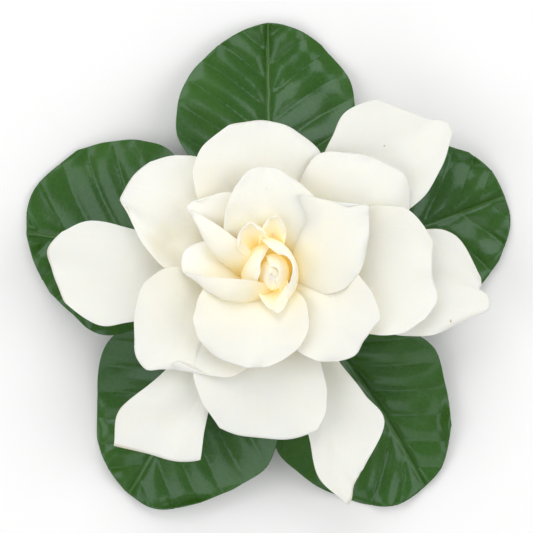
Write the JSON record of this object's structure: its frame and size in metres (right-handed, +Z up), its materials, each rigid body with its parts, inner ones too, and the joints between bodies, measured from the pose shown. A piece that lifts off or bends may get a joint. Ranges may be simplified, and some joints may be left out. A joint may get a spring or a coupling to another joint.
{
  "type": "gardenia flower",
  "caption": "Single cut gardenia bloom: layered ivory petals round a spiralled heart, on a short green stem with a ribbed calyx and a collar of glossy leaves.",
  "frame": {"origin": "centre of the bounding box in X and Y, on the surface that the leaves rest on", "axes": "+Z up through the heart of the flower, which faces up; +Y towards the top of the picture, +X towards its right"},
  "size_m": [0.1248, 0.125, 0.0421],
  "materials": {
    "petal": "soft matt, ivory going to cream at the heart",
    "leaf": "glossy dark green",
    "stem": "matt fresh green"
  },
  "bodies": {
    "root": {"bloom": "petal", "stem_and_calyx": "stem", "leaf_1": "leaf", "leaf_2": "leaf", "leaf_3": "leaf", "leaf_4": "leaf", "leaf_5": "leaf"}
  },
  "joints": []
}
